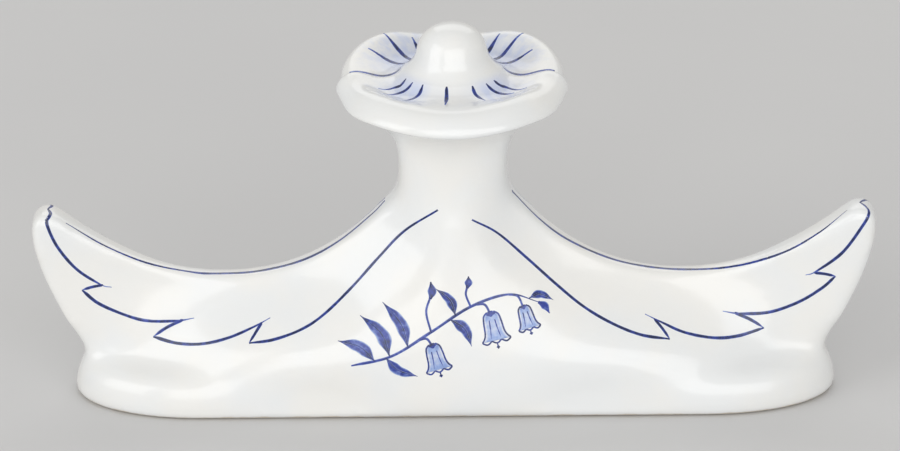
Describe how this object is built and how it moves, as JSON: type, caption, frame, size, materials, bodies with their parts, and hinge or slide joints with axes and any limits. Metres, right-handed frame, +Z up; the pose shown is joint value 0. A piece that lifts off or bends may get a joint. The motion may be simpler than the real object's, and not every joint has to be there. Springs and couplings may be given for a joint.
{
  "type": "knife rest",
  "caption": "Porcelain knife rest with a cradle at each end for the utensils and a blossom-shaped knob on a neck between them.",
  "frame": {"origin": "on the table plane, under the middle of the foot", "axes": "+X along the rest from one cradle to the other, +Y from the painted front to the back, +Z up to the knob"},
  "size_m": [0.128, 0.035, 0.0595],
  "materials": {
    "glaze": "white porcelain under a clear gloss glaze",
    "petal_glaze": "white porcelain with a pale blue wash under a clear gloss glaze",
    "cobalt": "cobalt blue brush lines under the glaze"
  },
  "bodies": {
    "root": {"saddle_body": "glaze", "calyx": "glaze", "petal_front": "petal_glaze", "petal_back_left": "petal_glaze", "petal_back_right": "petal_glaze", "blossom_dome": "glaze"}
  },
  "joints": []
}
